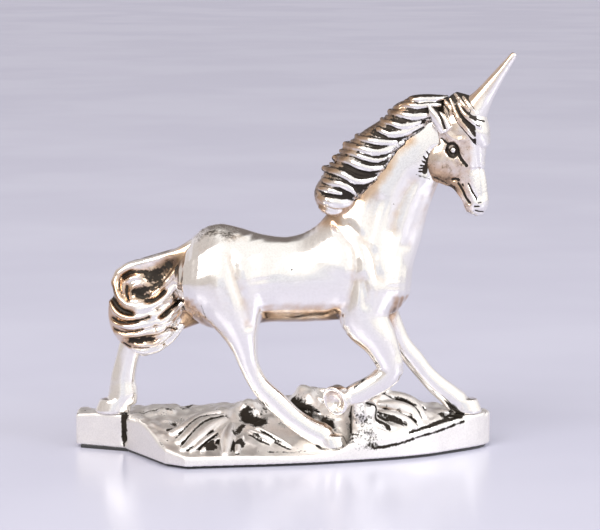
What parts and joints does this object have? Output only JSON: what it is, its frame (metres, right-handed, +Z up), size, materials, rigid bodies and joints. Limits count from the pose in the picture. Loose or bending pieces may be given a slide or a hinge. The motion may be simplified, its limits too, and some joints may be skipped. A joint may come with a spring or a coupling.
{
  "type": "unicorn figurine",
  "caption": "Silver-plated cast unicorn figurine, walking with one foreleg raised and its tail in a swirl, on a rocky base that stands flat on a shelf.",
  "frame": {"origin": "on the underside of the felt, below the middle of the animal's barrel", "axes": "+X the way the animal faces, +Y its left, +Z up"},
  "size_m": [0.0762, 0.0258, 0.0701],
  "materials": {
    "body_metal": "silver plate on white metal, polished, dark patina left in the creases",
    "hair_metal": "silver plate on white metal, polished ridges with black patina in the grooves",
    "base_metal": "silver plate on white metal, polished high spots with dark patina between the rocks",
    "pin_brass": "plain drawn wire, hidden inside the castings",
    "felt": "thin black felt, glued on"
  },
  "bodies": {
    "root": {"base_casting": "base_metal", "base_felt": "felt", "torso": "body_metal", "neck": "body_metal", "head": "body_metal", "horn": "body_metal", "right_ear": "body_metal", "left_ear": "body_metal", "right_hind_leg": "body_metal", "left_hind_leg": "body_metal", "right_foreleg": "body_metal", "left_foreleg": "body_metal", "mane": "hair_metal", "forelock": "hair_metal", "tail": "hair_metal", "hip_pin": "pin_brass", "shoulder_pin": "pin_brass", "neck_pin": "pin_brass", "head_pin": "pin_brass", "horn_pin": "pin_brass", "tail_pin": "pin_brass", "right_hind_hoof_pin": "pin_brass", "left_hind_hoof_pin": "pin_brass", "right_fore_hoof_pin": "pin_brass", "left_fore_hoof_pin": "pin_brass"}
  },
  "joints": []
}
